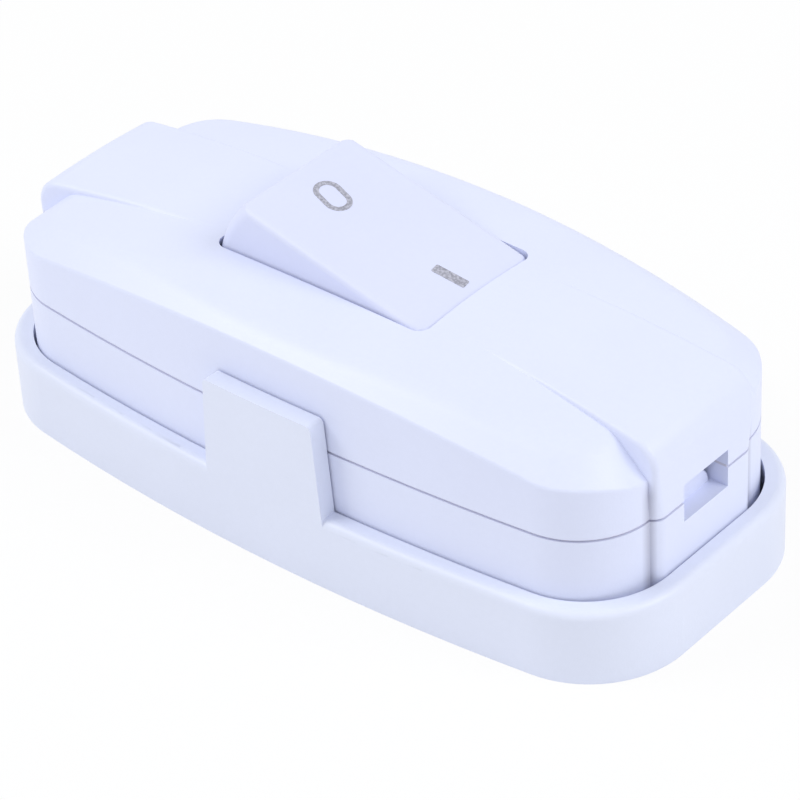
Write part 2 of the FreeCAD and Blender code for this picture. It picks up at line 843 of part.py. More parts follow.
def make_bracket():
    floor = "body_base"
    inner_length = "nose_end + tray_end_gap"
    inner_width = "body_half_width + tray_gap"
    outer_length = inner_length + " + tray_wall"
    outer_width = inner_width + " + tray_wall"
    inner_bulge = offset_bulge("tray_gap", inner_length)
    tray = bulged_pad("tray_outer", outer_length, outer_width, "tray_bulge", "tray_corner", "0", "tray_rim")
    doc.recompute()
    rim_height = size("tray_rim")
    fillet(
        tray, "Rim", tray.Tip, "tray_rim_round",
        lambda edge: edge.BoundBox.ZMin > rim_height - 1e-4,
    )
    inner = bulged_pad(
        "tray_inner", inner_length, inner_width, inner_bulge, "tray_inner_corner", floor, "tab_top + 1",
    )
    tab_outer = bulged_pad("tab_outer", outer_length, outer_width, "tray_bulge", "tray_corner", floor, "tab_top")
    tab_plate = profile_pad("tab_plate", "XZ_Plane", [
        ("tab_offset - tab_foot_half", floor),
        ("tab_offset + tab_foot_half", floor),
        ("tab_offset + tab_top_half", "tab_top"),
        ("tab_offset - tab_top_half", "tab_top"),
    ], "2 * ( body_half_width + tray_wall + 5 )")
    doc.recompute()
    top_height = size("tab_top")
    fillet(
        tab_plate, "Corners", tab_plate.Tip, "tab_corner",
        lambda edge: edge.BoundBox.ZMin > top_height - 1e-4 and edge.BoundBox.XLength < 1e-4,
    )
    tabs = common("tabs", tab_outer, tab_plate)
    tray_and_tabs = cut("tray_and_tabs", fuse("tray_solid", tray, tabs), inner)
    snaps = [
        rod(f"snap_{place}", "snap_radius",
            "tab_offset - snap_half_length", "tab_offset + snap_half_length",
            (signed(sign, "body_half_width + tray_gap"), "snap_height"), along="x")
        for sign, place in POLES
    ]
    holes = []
    for sign, end in ENDS:
        at = (signed(sign, "wall_hole_place"), "0")
        holes.append(rod(f"wall_hole_{end}", "wall_hole_radius", "0 - 1", floor + " + 1", at))
        sink = doc.addObject("Part::Cone", f"wall_sink_{end}")
        bind(sink, "Placement.Base.x", at[0])
        bind(sink, "Placement.Base.z", "body_base - wall_sink_radius + wall_hole_radius")
        bind(sink, "Radius1", "wall_hole_radius")
        bind(sink, "Radius2", "wall_sink_radius")
        bind(sink, "Height", "wall_sink_radius - wall_hole_radius")
        holes.append(sink)
    return cut("wall_bracket", fuse("bracket_solid", tray_and_tabs, *snaps), *holes)


def make_rocker():
    """Drum sector with a flat top, hollow below, with two trunnions and two plunger posts."""
    sector = drum("rocker_drum", "drum_radius", "rocker_half_width", "rocker_top",
                  "0 - rocker_skirt", "rocker_corner")
    top = size("rocker_top")
    doc.recompute()
    fillet(sector, "End_edges", sector.Tip, "rocker_end_edge", lambda edge: edge.BoundBox.ZMin > top - 1e-4)
    across = profile_pad("rocker_across", "YZ_Plane", [
        ("0 - rocker_half_width", "0 - drum_radius"),
        ("rocker_half_width", "0 - drum_radius"),
        ("rocker_half_width", "rocker_top"),
        ("0 - rocker_half_width", "rocker_top"),
    ], "3 * drum_radius")
    doc.recompute()
    fillet(across, "Side_edges", across.Tip, "rocker_edge", lambda edge: edge.BoundBox.ZMin > top - 1e-4
           and edge.BoundBox.XLength > 1)
    outer = common("rocker_outer", sector, across)
    inner = drum("rocker_hollow", "drum_radius - rocker_wall", "rocker_half_width - rocker_wall",
                 "rocker_top - rocker_wall", "0 - rocker_skirt - 1", "rocker_corner")
    trunnions = [
        rod(f"trunnion_{place}", "trunnion_radius",
            *(("rocker_half_width - 1", "rocker_half_width + trunnion_reach") if sign > 0
              else ("0 - rocker_half_width - trunnion_reach", "1 - rocker_half_width")),
            ("0", "0"), along="y")
        for sign, place in POLES
    ]
    posts = []
    bores = []
    for sign, place in POLES:
        at = ("0", signed(sign, "pole_offset"))
        posts.append(rod(f"post_{place}", "post_radius", "0 - rocker_skirt",
                         "rocker_top - rocker_wall + 0.5", at))
        bores.append(rod(f"post_bore_{place}", "plunger_radius + plunger_fit",
                         "0 - rocker_skirt - 1", "rocker_top - rocker_wall", at))
    shell = cut("rocker_shell", outer, inner)
    return cut("rocker", fuse("rocker_solid", shell, *trunnions, *posts), *bores)


def make_plunger(place, sign):
    at = ("0", signed(sign, "pole_offset"))
    tip_centre = "tip_radius - tip_reach"
    shoulder = f"{tip_centre} + plunger_radius"
    stem = rod(f"plunger_stem_{place}", "tip_radius", tip_centre, shoulder, at)
    head = rod(f"plunger_head_{place}", "plunger_radius", shoulder, "plunger_top", at)
    ball = doc.addObject("Part::Sphere", f"plunger_tip_{place}")
    bind(ball, "Radius", "tip_radius")
    bind(ball, "Placement.Base.y", at[1])
    bind(ball, "Placement.Base.z", tip_centre)
    return fuse(f"plunger_{place}", stem, head, ball)


def make_spring(place, sign):
    """Open coil between the plunger and the roof of its bore."""
    wire = size("spring_wire")
    low = size("plunger_top") + size("spring_gap") + wire / 2
    rise = size("spring_top") - size("spring_gap") - wire / 2 - low
    radius = size("plunger_radius") - wire / 2 - size("running_fit")
    helix = Part.makeHelix(rise / size("spring_turns"), rise, radius)
    corners = [
        Vector(radius + wire / 2 * math.cos(angle), 0, wire / 2 * math.sin(angle))
        for angle in (math.radians(60 * side + 30) for side in range(6))
    ]
    section = Part.makePolygon(corners + corners[:1])
    coil = Part.Wire(helix).makePipeShell([section], True, True)
    coil.translate(Vector(0, sign * size("pole_offset"), low))
    wound = doc.addObject("Part::Feature", f"coil_{place}")
    wound.Shape = coil
    return group(f"plunger_spring_{place}", [wound])


def make_blade(place, sign):
    """Rocking contact blade in its own frame, with the fulcrum's axis at the origin."""
    y = f"{signed(sign, 'pole_offset')}"
    plate = block(
        f"blade_plate_{place}",
        ("0 - blade_contact_end", "blade_free_end"),
        (f"{y} - blade_width / 2", f"{y} + blade_width / 2"),
        ("blade_lift", "blade_lift + blade_thickness"),
    )
    seat = rod(f"blade_seat_{place}", "fulcrum_radius + running_fit",
               f"{y} - blade_width", f"{y} + blade_width", ("0", "0"), along="y")
    hole = rod(f"blade_hole_{place}", "contact_shank + rivet_fit", "0 - 1",
               "blade_lift + blade_thickness + 1", ("0 - contact_arm", y))
    return cut(f"contact_blade_{place}", plate, seat, hole)


def domed_head(name, x, y, face, height, up):
    """Round head whose far face is a shallow dome, up or down from its flat face."""
    sign = 1 if up else -1
    far = f"{face} + {signed(sign, height)}"
    low, high = (face, far) if up else (far, face)
    disc = rod(name + "_disc", "contact_radius", low, high, (x, y))
    ball = doc.addObject("Part::Sphere", name + "_ball")
    bind(ball, "Radius", "contact_dome")
    bind(ball, "Placement.Base.x", x)
    bind(ball, "Placement.Base.y", y)
    bind(ball, "Placement.Base.z", f"{far} - {signed(sign, 'contact_dome')}")
    return common(name, disc, ball)


def make_moving_contact(place, sign):
    x = "0 - contact_arm"
    y = signed(sign, "pole_offset")
    head = domed_head(f"moving_head_{place}", x, y, "blade_lift", "contact_height", up=False)
    shank = rod(f"moving_shank_{place}", "contact_shank", "blade_lift - 0.1",
                "blade_lift + blade_thickness", (x, y))
    return fuse(f"moving_contact_{place}", head, shank)


def contact_height_closed():
    """Height of the moving contact's lowest point when the blade is tipped on to it."""
    return (
        "( fulcrum_height - contact_arm * sin( blade_tilt * 1 deg )"
        " + dome_centre * cos( blade_tilt * 1 deg ) - contact_dome )"
    )


def contact_place_closed():
    return (
        "( pivot_place - contact_arm * cos( blade_tilt * 1 deg )"
        " - dome_centre * sin( blade_tilt * 1 deg ) )"
    )


def make_fixed_contact(place, sign):
    x = contact_place_closed()
    y = signed(sign, "pole_offset")
    top = f"( {contact_height_closed()} - tip_gap )"
    head = rod(f"fixed_head_{place}", "contact_radius", f"{top} - contact_height", top, (x, y))
    shank = rod(f"fixed_shank_{place}", "contact_shank",
                f"{top} - contact_height - strip_thickness", f"{top} - contact_height", (x, y))
    return fuse(f"fixed_contact_{place}", head, shank)


def terminal_strip(name, sign, corners, width, x_sign):
    """Bent strip with its screw hole, drawn from the side and given a width at its pole."""
    body = doc.addObject("PartDesign::Body", name + "_strip")
    sketch = polygon(body, "Side", "XZ_Plane", corners)
    pad(body, "Strip", sketch, width, midplane=True)
    bind(body, "Placement.Base.y", signed(sign, "pole_offset"))
    at = (signed(x_sign, "terminal_screw_place"), signed(sign, "pole_offset"))
    hole = rod(name + "_hole", "terminal_screw_radius + screw_fit",
               "strip_height - 1", "strip_height + strip_thickness + 1", at)
    return body, hole


def make_fixed_terminal(place, sign):
    """Strip from the left screw along the carrier, up a step and in under the moving contact."""
    top = f"( {contact_height_closed()} - tip_gap - contact_height )"
    thick = "strip_thickness"
    inner = f"{contact_place_closed()} + contact_radius"
    step = f"{contact_place_closed()} - contact_radius - 0.5"
    corners = [
        ("0 - strip_reach", "strip_height"),
        (step, "strip_height"),
        (step, f"{top} - {thick}"),
        (inner, f"{top} - {thick}"),
        (inner, top),
        (f"{step} - {thick}", top),
        (f"{step} - {thick}", f"strip_height + {thick}"),
        ("0 - strip_reach", f"strip_height + {thick}"),
    ]
    name = f"fixed_terminal_{place}"
    strip, hole = terminal_strip(name, sign, corners, "strip_width", -1)
    rivet_hole = rod(name + "_rivet_hole", "contact_shank + rivet_fit", f"{top} - 2 * {thick}",
                     f"{top} + 1", (contact_place_closed(), signed(sign, "pole_offset")))
    return cut(name, strip, hole, rivet_hole)


def make_fulcrum_terminal(place, sign):
    """Strip from the right screw to the middle, where a post with a round top carries the blade."""
    thick = "strip_thickness"
    post_left = "pivot_place - fulcrum_radius"
    post_right = "pivot_place + fulcrum_radius"
    corners = [
        (post_left, "strip_height"),
        ("strip_reach", "strip_height"),
        ("strip_reach", f"strip_height + {thick}"),
        (post_right, f"strip_height + {thick}"),
        (post_right, "fulcrum_height"),
        (post_left, "fulcrum_height"),
    ]
    name = f"fulcrum_terminal_{place}"
    strip, hole = terminal_strip(name, sign, corners, "blade_width", 1)
    y = signed(sign, "pole_offset")
    ridge = rod(name + "_ridge", "fulcrum_radius", f"{y} - blade_width / 2", f"{y} + blade_width / 2",
                ("pivot_place", "fulcrum_height"), along="y")
    return cut(name, fuse(name + "_solid", strip, ridge), hole)


def slotted_screw(name, x, y, head_radius, head_low, head_height, shank_radius, length, up):
    """Cheese-head screw with a straight slot; the head points up or down."""
    sign = 1 if up else -1
    head_far = f"{head_low} + {signed(sign, head_height)}"
    shank_far = f"{head_low} - {signed(sign, length)}"
    head_limits = (head_low, head_far) if up else (head_far, head_low)
    shank_limits = (shank_far, head_low) if up else (head_low, shank_far)
    head = rod(name + "_head", head_radius, *head_limits, (x, y))
    shank = rod(name + "_shank", shank_radius, *shank_limits, (x, y))
    slot_floor = f"{head_far} - {signed(sign, 'slot_depth')}"
    slot_open = f"{head_far} + {signed(sign, '1')}"
    slot = block(
        name + "_slot",
        (f"{x} - {head_radius} - 1", f"{x} + {head_radius} + 1"),
        (f"{y} - slot_width / 2", f"{y} + slot_width / 2"),
        (slot_floor, slot_open) if up else (slot_open, slot_floor),
    )
    return cut(name, fuse(name + "_blank", head, shank), slot)


def make_terminal_screws():
    screws = [
        slotted_screw(
            f"terminal_screw_{end}_{pole}",
            signed(x_sign, "terminal_screw_place"), signed(y_sign, "pole_offset"),
            "terminal_head_radius", "strip_height + strip_thickness", "terminal_head_height",
            "terminal_screw_radius", "terminal_screw_length", up=True,
        )
        for x_sign, end in ENDS
        for y_sign, pole in POLES
    ]
    return group("terminal_screws", screws)


def make_clamp_screws():
    screws = [
        slotted_screw(
            f"clamp_screw_{end}_{pole}",
            signed(x_sign, "clamp_place"), signed(y_sign, "clamp_screw_offset"),
            "clamp_head_radius", "clamp_seat + clamp_thickness", "clamp_head_height",
            "clamp_screw_radius", "clamp_screw_length", up=True,
        )
        for x_sign, end in ENDS
        for y_sign, pole in POLES
    ]
    return group("clamp_screws", screws)


def make_joint_screws():
    screws = [
        slotted_screw(
            f"joint_screw_{'right' if x_sign > 0 else 'left'}",
            signed(x_sign, "joint_x"), signed(y_sign, "joint_y"),
            "joint_head_radius", "body_base + joint_head_sink", "joint_head_height",
            "joint_screw_radius", "joint_screw_length - joint_head_height", up=False,
        )
        for x_sign, y_sign, kind in joint_places()
        if kind == "screw"
    ]
    return group("cover_screws", screws)


def clamp_block(name, x_sign, low, high):
    """Bar across the cord with its upper corners rounded, as seen along the cord."""
    body = doc.addObject("PartDesign::Body", name)
    corners = [
        ("0 - clamp_half_width", low),
        ("clamp_half_width", low),
        ("clamp_half_width", high),
        ("0 - clamp_half_width", high),
    ]
    sketch = polygon(body, "Front", "YZ_Plane", corners)
    solid = pad(body, "Bar", sketch, "2 * clamp_half_depth", midplane=True)
    doc.recompute()
    top = value(high)
    fillet(body, "Corners", solid, "clamp_round",
           lambda edge: edge.BoundBox.ZMin > top - 1e-4 and edge.BoundBox.YLength < 1e-4)
    bind(body, "Placement.Base.x", signed(x_sign, "clamp_place"))
    return body


def make_cord_clamp(end, x_sign):
    top = "clamp_seat + clamp_thickness"
    bar = clamp_block(f"clamp_bar_{end}", x_sign, "clamp_seat", top)
    holes = [
        rod(f"clamp_hole_{end}_{pole}", "clamp_screw_radius + joint_shank_gap", "clamp_seat - 1",
            f"{top} + 1", (signed(x_sign, "clamp_place"), signed(y_sign, "clamp_screw_offset")))
        for y_sign, pole in POLES
    ]
    return cut(f"cord_clamp_{end}", bar, *holes)


def group(name, things):
    """Like pieces kept as separate solids in one node."""
    together = doc.addObject("Part::Compound", name)
    together.Links = things
    return together


def tilted(thing, height, angle):
    """Turns a piece about the Y axis and puts its pivot at a height, on the rocker's cross line."""
    thing.Placement = FreeCAD.Placement(Vector(), FreeCAD.Rotation(Vector(0, 1, 0), 1))
    bind(thing, "Placement.Base.x", "pivot_place")
    bind(thing, "Placement.Base.z", height)
    bind(thing, "Placement.Rotation.Angle", angle)
    return thing


parts = [
    make_bracket(),
    make_bottom_cover(),
    make_top_cover(),
    tilted(make_rocker(), "pivot_height", "rocker_tilt"),
    make_terminal_screws(),
    make_clamp_screws(),
    make_joint_screws(),
]
for sign, place in POLES:
    parts.append(tilted(make_plunger(place, sign), "pivot_height", "rocker_tilt"))
    parts.append(tilted(make_spring(place, sign), "pivot_height", "rocker_tilt"))
    parts.append(tilted(make_blade(place, sign), "fulcrum_height", "0 - blade_tilt"))
    parts.append(tilted(make_moving_contact(place, sign), "fulcrum_height", "0 - blade_tilt"))
    parts.append(make_fixed_contact(place, sign))
    parts.append(make_fixed_terminal(place, sign))
    parts.append(make_fulcrum_terminal(place, sign))
for sign, end in ENDS:
    parts.append(make_cord_clamp(end, sign))
doc.recompute()

broken = [thing.Label for thing in doc.Objects if "Invalid" in thing.State or "Error" in thing.State]
if broken:
    raise RuntimeError("These objects failed: " + ", ".join(broken))
os.makedirs("parts", exist_ok=True)
for part in parts:
    shape = part.Shape
    if shape.isNull() or not shape.isValid():
        raise RuntimeError(part.Label + " has no valid solid")
    shape.exportStep(f"parts/{part.Label}.step")
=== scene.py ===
import json
import math

import bmesh
import bpy
from mathutils import Matrix, Vector


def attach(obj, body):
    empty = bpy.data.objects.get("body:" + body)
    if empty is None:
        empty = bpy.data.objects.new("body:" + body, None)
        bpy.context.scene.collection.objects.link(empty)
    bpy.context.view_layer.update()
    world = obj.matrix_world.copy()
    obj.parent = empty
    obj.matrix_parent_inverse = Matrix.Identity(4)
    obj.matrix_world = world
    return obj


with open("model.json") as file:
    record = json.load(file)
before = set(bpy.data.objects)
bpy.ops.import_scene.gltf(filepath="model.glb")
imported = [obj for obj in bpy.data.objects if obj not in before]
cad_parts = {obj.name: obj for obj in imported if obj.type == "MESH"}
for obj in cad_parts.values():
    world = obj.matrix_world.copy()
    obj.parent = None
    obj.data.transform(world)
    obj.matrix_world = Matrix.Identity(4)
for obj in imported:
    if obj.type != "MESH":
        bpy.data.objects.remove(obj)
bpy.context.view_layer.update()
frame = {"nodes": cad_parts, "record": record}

# Looks of the inline cord switch: plastics, metals, the printed marks on the rocker, the ribs in the
# cord openings, floor, light and camera. Lengths are in metres; MM turns millimetres into them.

MM = 0.001
nodes = frame["nodes"]

# A Mix node keeps sockets for every kind of value; these are its colour ones
MIX_FACTOR = 0
MIX_FIRST = 6
MIX_SECOND = 7
MIX_RESULT = 2


class Wire:
    """A number flowing through a material, so that Python's operators add its Math nodes."""

    def __init__(self, finish, socket):
        self.finish = finish
        self.socket = socket

    def math(self, operation, *values):
        return self.finish.add("ShaderNodeMath", {"operation": operation}, dict(enumerate(values)))

    def __add__(self, other):
        return self.math("ADD", self, other)

    def __radd__(self, other):
        return self.math("ADD", other, self)

    def __sub__(self, other):
        return self.math("SUBTRACT", self, other)

    def __mul__(self, other):
        return self.math("MULTIPLY", self, other)

    def __abs__(self):
        return self.math("ABSOLUTE", self)


class Finish:
    """The nodes of one material, or of the world."""

    def __init__(self, owner):
        self.owner = owner
        owner.use_nodes = True
        self.tree = owner.node_tree
        self.tree.nodes.clear()

    def add(self, kind, settings=None, inputs=None, output=0):
        """Adds a node, first its settings, then its sockets' values or links; returns one output."""
        node = self.tree.nodes.new(kind)
        for name, setting in (settings or {}).items():
            setattr(node, name, setting)
        for name, value in (inputs or {}).items():
            if isinstance(value, Wire):
                self.tree.links.new(value.socket, node.inputs[name])
            else:
                node.inputs[name].default_value = value
        return Wire(self, node.outputs[output]) if node.outputs else None

    def place(self):
        return self.add("ShaderNodeTexCoord", output="Object")

    def noise(self, scale, detail=2.0, at=None):
        return self.add(
            "ShaderNodeTexNoise", {},
            {"Vector": at or self.place(), "Scale": scale, "Detail": detail, "Roughness": 0.5},
        )

    def ramp(self, value, start, end):
        """Turns a value from start to end into 0 to 1."""
        return self.add(
            "ShaderNodeMapRange", {"clamp": True},
            {"Value": value, "From Min": start, "From Max": end},
        )

    def between(self, amount, first, second):
        """Colour between two colours."""
        return self.add(
            "ShaderNodeMix", {"data_type": "RGBA"},
            {MIX_FACTOR: amount, MIX_FIRST: first, MIX_SECOND: second}, output=MIX_RESULT,
        )

    def bump(self, height, distance):
        return self.add(
            "ShaderNodeBump", {}, {"Height": height, "Distance": distance, "Strength": 1.0},
        )

    def surface(self, **sockets):
        shader = self.add(
            "ShaderNodeBsdfPrincipled", {},
            {name.replace("_", " "): value for name, value in sockets.items()},
        )
        self.close(shader)
        return self.owner

    def close(self, shader):
        self.add("ShaderNodeOutputMaterial", {}, {"Surface": shader})


def new_finish(name):
    return Finish(bpy.data.materials.new(name))


# Painted shade on the housing: grey along the parting line, darker in the upright grooves by the noses.
# Each pair is where it starts to show and where it shows in full.
PARTING_HEIGHT = 15.59 * MM
PARTING_REACH = (0.165 * MM, 0.12 * MM)
PARTING_SHADE = [0.63, 0.61, 0.70, 1.0]
PARTING_SHARE = 0.9
GROOVE_ALONG = 40.1 * MM
GROOVE_ACROSS = 8.0 * MM
GROOVE_REACH = (1.15 * MM, 0.0)
GROOVE_FADE = (20.6 * MM, 18.6 * MM)
GROOVE_SHADE = [0.40, 0.40, 0.50, 1.0]
GROOVE_SHARE = 0.7


def painted_seam_and_groove_shade(finish, colour):
    """The colour with painted shade over it along the parting line and in the grooves."""
    place = finish.place()
    along, across, up = (
        finish.add("ShaderNodeSeparateXYZ", {}, {"Vector": place}, output=axis) for axis in range(3)
    )
    # Painted shade: grey in the parting line's recess, and darkening in the concave grooves by the noses
    parting = finish.ramp(abs(up - PARTING_HEIGHT), *PARTING_REACH)
    from_groove = abs(abs(along) - GROOVE_ALONG) + abs(abs(across) - GROOVE_ACROSS)
    groove = finish.ramp(from_groove, *GROOVE_REACH) * finish.ramp(up, *GROOVE_FADE)
    colour = finish.between(groove * GROOVE_SHARE, colour, GROOVE_SHADE)
    return finish.between(parting * PARTING_SHARE, colour, PARTING_SHADE)


def moulded_plastic(name, shade, roughness, grain, with_painted_shade=False):
    """White plastic: a faint cloudiness in the colour, an uneven gloss and a fine moulded grain."""
    finish = new_finish(name)
    cloud = finish.ramp(finish.noise(90.0, detail=3.0), 0.3, 0.7)
    speckle = finish.ramp(finish.noise(1600.0), 0.35, 0.65)
    paler = [*(min(1.0, part * 1.012) for part in shade), 1.0]
    deeper = [*(part * 0.985 for part in shade), 1.0]
    colour = finish.between(cloud * 0.7 + speckle * 0.3, deeper, paler)
    texture = finish.noise(3800.0) + finish.noise(700.0, detail=1.0) * 0.5
    return finish.surface(
        # Where asked, painted shade goes over the colour along the seams and grooves
        Base_Color=painted_seam_and_groove_shade(finish, colour) if with_painted_shade else colour,
        Roughness=roughness + (cloud - 0.5) * 0.06 + (speckle - 0.5) * 0.05,
        Normal=finish.bump(texture, grain),
    )


def metal(name, shade, roughness, stretch, scratches):
    """Bare metal with drawn or rolled lines along one direction and slightly dulled patches."""
    finish = new_finish(name)
    lines = finish.noise(
        2200.0, detail=3.0,
        at=finish.add("ShaderNodeMapping", {}, {"Vector": finish.place(), "Scale": stretch}),
    )
    dull = finish.ramp(finish.noise(450.0, detail=3.0), 0.35, 0.75)
    bright = [*shade, 1.0]
    tarnished = [*(part * 0.8 for part in shade), 1.0]
    return finish.surface(
        Base_Color=finish.between(dull * 0.6 + lines * 0.3, bright, tarnished),
        Metallic=1.0,
        Roughness=roughness + dull * 0.12 + (lines - 0.5) * 0.1,
        Normal=finish.bump(lines, scratches),
    )


INK_DARK = [0.28, 0.28, 0.34, 1.0]
INK_PALE = [0.54, 0.54, 0.63, 1.0]


def printed_ink():
    """Grey pad print: the dots of ink leave a little of the white plastic showing."""
    finish = new_finish("rocker_print")
    dots = finish.ramp(finish.noise(3800.0), 0.40, 0.60)
    patches = finish.ramp(finish.noise(1500.0), 0.3, 0.7)
    return finish.surface(
        Base_Color=finish.between(dots * 0.75 + patches * 0.25, INK_DARK, INK_PALE),
        Roughness=0.45 + dots * 0.15,
        Normal=finish.bump(dots, 0.004 * MM),
    )


COVER_WHITE = (0.765, 0.80, 0.99)
BRACKET_WHITE = (0.775, 0.81, 0.955)
ROCKER_WHITE = (0.735, 0.765, 0.965)
BRASS = (0.80, 0.60, 0.29)
SILVER = (0.83, 0.82, 0.79)
ZINC = (0.66, 0.67, 0.69)
STEEL = (0.50, 0.50, 0.51)

# Directions of a metal's lines: along a rolled strip, or round a turned piece
ALONG = (0.06, 1.0, 1.0)
ROUND = (1.0, 1.0, 0.12)

finishes = {
    "white_plastic": moulded_plastic("bracket_plastic", BRACKET_WHITE, 0.40, 0.010 * MM),
    "white_gloss": moulded_plastic("rocker_plastic", ROCKER_WHITE, 0.36, 0.002 * MM),
    "brass": metal("terminal_brass", BRASS, 0.28, ALONG, 0.004 * MM),
    "silver_alloy": metal("contact_silver", SILVER, 0.22, ROUND, 0.002 * MM),
    "zinc_steel": metal("screw_zinc", ZINC, 0.30, ROUND, 0.004 * MM),
    "spring_steel": metal("spring_wire", STEEL, 0.26, ROUND, 0.003 * MM),
}

# The two covers are of the bracket's kind of plastic, a little bluer, with painted shade in seam and
# grooves
covers = ("top_cover", "bottom_cover")
cover_finish = moulded_plastic("cover_plastic", COVER_WHITE, 0.40, 0.010 * MM, with_painted_shade=True)

for subpart in frame["record"]["subparts"]:
    name = subpart["node"]
    slot = subpart["material_slot"]
    nodes[name].data.materials.clear()
    nodes[name].data.materials.append(cover_finish if name in covers else finishes[slot])


def new_piece(name, shape, finish):
    """Turns a finished shape into an object of the scene."""
    mesh = bpy.data.meshes.new(name)
    shape.to_mesh(mesh)
    shape.free()
    piece = bpy.data.objects.new(name, mesh)
    bpy.context.scene.collection.objects.link(piece)
    mesh.materials.append(finish)
    return piece


# The rocker's flat top, where its marks are printed
PIVOT_PLACE = -0.6 * MM
PIVOT_HEIGHT = 22.0 * MM
ROCKER_TOP = 7.58 * MM
ROCKER_TILT = math.radians(14.2)
PRINT_SUNK = 0.01 * MM
PRINT_PROUD = 0.02 * MM
on_rocker_top = (
    Matrix.Translation((PIVOT_PLACE, 0, PIVOT_HEIGHT))
    @ Matrix.Rotation(ROCKER_TILT, 4, "Y")
    @ Matrix.Translation((0, 0, ROCKER_TOP))
)

# The marks' sizes, and their places and turns on that top
OFF_PLACE = (-7.02 * MM, -0.03 * MM)
OFF_TURN = math.radians(-12.0)
OFF_RADIUS = 1.56 * MM
OFF_STRETCH = 0.78 * MM
OFF_STROKE = 0.6 * MM
ON_PLACE = (8.54 * MM, 0.05 * MM)
ON_TURN = math.radians(8.5)
ON_LENGTH = 3.86 * MM
ON_WIDTH = 1.22 * MM
ON_CORNER = 0.2 * MM


def printed_mark(name, outline, ink, place, turn):
    """Raises a flat outline into a thin layer of print, placed and turned on the rocker's top."""
    bmesh.ops.transform(
        outline, verts=outline.verts,
        matrix=Matrix.Translation((*place, 0)) @ Matrix.Rotation(turn, 4, "Z"),
    )
    layer = bmesh.ops.extrude_face_region(outline, geom=outline.faces[:])
    raised = [part for part in layer["geom"] if isinstance(part, bmesh.types.BMVert)]
    bmesh.ops.translate(outline, verts=outline.verts, vec=(0, 0, -PRINT_SUNK))
    bmesh.ops.translate(outline, verts=raised, vec=(0, 0, PRINT_SUNK + PRINT_PROUD))
    bmesh.ops.transform(outline, matrix=on_rocker_top, verts=outline.verts)
    bmesh.ops.recalc_face_normals(outline, faces=outline.faces)
    mark = new_piece(name, outline, ink)
    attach(mark, "rocker")


def off_mark(ink):
    """Long "0" on the half that stands up: a ring of even stroke with straight sides."""
    outline = bmesh.new()
    bmesh.ops.create_circle(outline, cap_ends=True, segments=64, radius=OFF_RADIUS)
    for side in (-1, 1):
        half = [vertex for vertex in outline.verts if vertex.co.x * side > 0]
        bmesh.ops.translate(outline, verts=half, vec=(side * OFF_STRETCH, 0, 0))
    inside = outline.faces[:]
    bmesh.ops.inset_region(
        outline, faces=inside, thickness=OFF_STROKE, use_even_offset=True, use_boundary=True,
    )
    bmesh.ops.delete(outline, geom=inside, context="FACES")
    printed_mark("off_mark", outline, ink, OFF_PLACE, OFF_TURN)


def on_mark(ink):
    """Short bar "I" on the half that is pressed down."""
    outline = bmesh.new()
    bmesh.ops.create_grid(outline, x_segments=1, y_segments=1, size=0.5)
    bmesh.ops.scale(outline, verts=outline.verts, vec=(ON_LENGTH, ON_WIDTH, 1.0))
    bmesh.ops.bevel(
        outline, geom=outline.verts, offset=ON_CORNER, segments=4,
        profile=0.5, affect="VERTICES", material=-1,
    )
    printed_mark("on_mark", outline, ink, ON_PLACE, ON_TURN)


ink = printed_ink()
off_mark(ink)
on_mark(ink)


# Low ribs just inside the cord openings, in the lower cover: the cord lies across their tops
RIB_FACE = 38.9 * MM
RIB_THICKNESS = 1.2 * MM
RIB_WIDTH = 6.4 * MM
RIB_FOOT = 10.0 * MM
RIB_TOP = 15.3 * MM
RIB_CORNER = 1.9 * MM
RIB_EDGE = 0.25 * MM
NEARLY = 0.1 * MM


def cord_rib(place, side):
    """Upright plate across the housing with two well rounded upper corners."""
    plate = bmesh.new()
    bmesh.ops.create_cube(plate, size=1.0)
    bmesh.ops.scale(plate, verts=plate.verts, vec=(RIB_THICKNESS, RIB_WIDTH, RIB_TOP - RIB_FOOT))
    middle = side * (RIB_FACE - RIB_THICKNESS / 2)
    bmesh.ops.translate(plate, verts=plate.verts, vec=(middle, 0, (RIB_TOP + RIB_FOOT) / 2))
    upper_corners = [
        edge for edge in plate.edges
        if all(vertex.co.z > RIB_TOP - NEARLY for vertex in edge.verts)
        and abs(edge.verts[0].co.y - edge.verts[1].co.y) < NEARLY
    ]
    bmesh.ops.bevel(
        plate, geom=upper_corners, offset=RIB_CORNER, segments=10,
        profile=0.5, affect="EDGES", material=-1,
    )
    rim = [
        edge for edge in plate.edges
        if len(edge.link_faces) == 2
        and edge.calc_face_angle() > math.radians(60)
        and min(vertex.co.z for vertex in edge.verts) > RIB_FOOT + NEARLY
    ]
    bmesh.ops.bevel(
        plate, geom=rim, offset=RIB_EDGE, segments=3,
        profile=0.5, affect="EDGES", material=-1,
    )
    bmesh.ops.recalc_face_normals(plate, faces=plate.faces)
    rib = new_piece("cord_rib_" + place, plate, cover_finish)
    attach(rib, "base")


cord_rib("right", 1)
cord_rib("left", -1)


# Studio: a white table, an even sky and a large soft lamp on each side
WHITE = [1.0, 1.0, 1.0, 1.0]
TABLE_HALF = 2.0
TABLE_PAPER = [0.92, 0.92, 0.92, 1.0]
TABLE_GLOW = 0.9
SKY_STRENGTH = 0.625
LIGHT_TINT = (0.966, 0.983, 1.0)


def looked_at(finish):
    """1 where the camera sees the thing, straight, in a mirror or through glass; 0 where it only lights."""
    seen = finish.add("ShaderNodeLightPath", output="Is Camera Ray")
    mirrored = finish.add("ShaderNodeLightPath", output="Is Glossy Ray")
    through = finish.add("ShaderNodeLightPath", output="Is Transmission Ray")
    return seen + mirrored + through


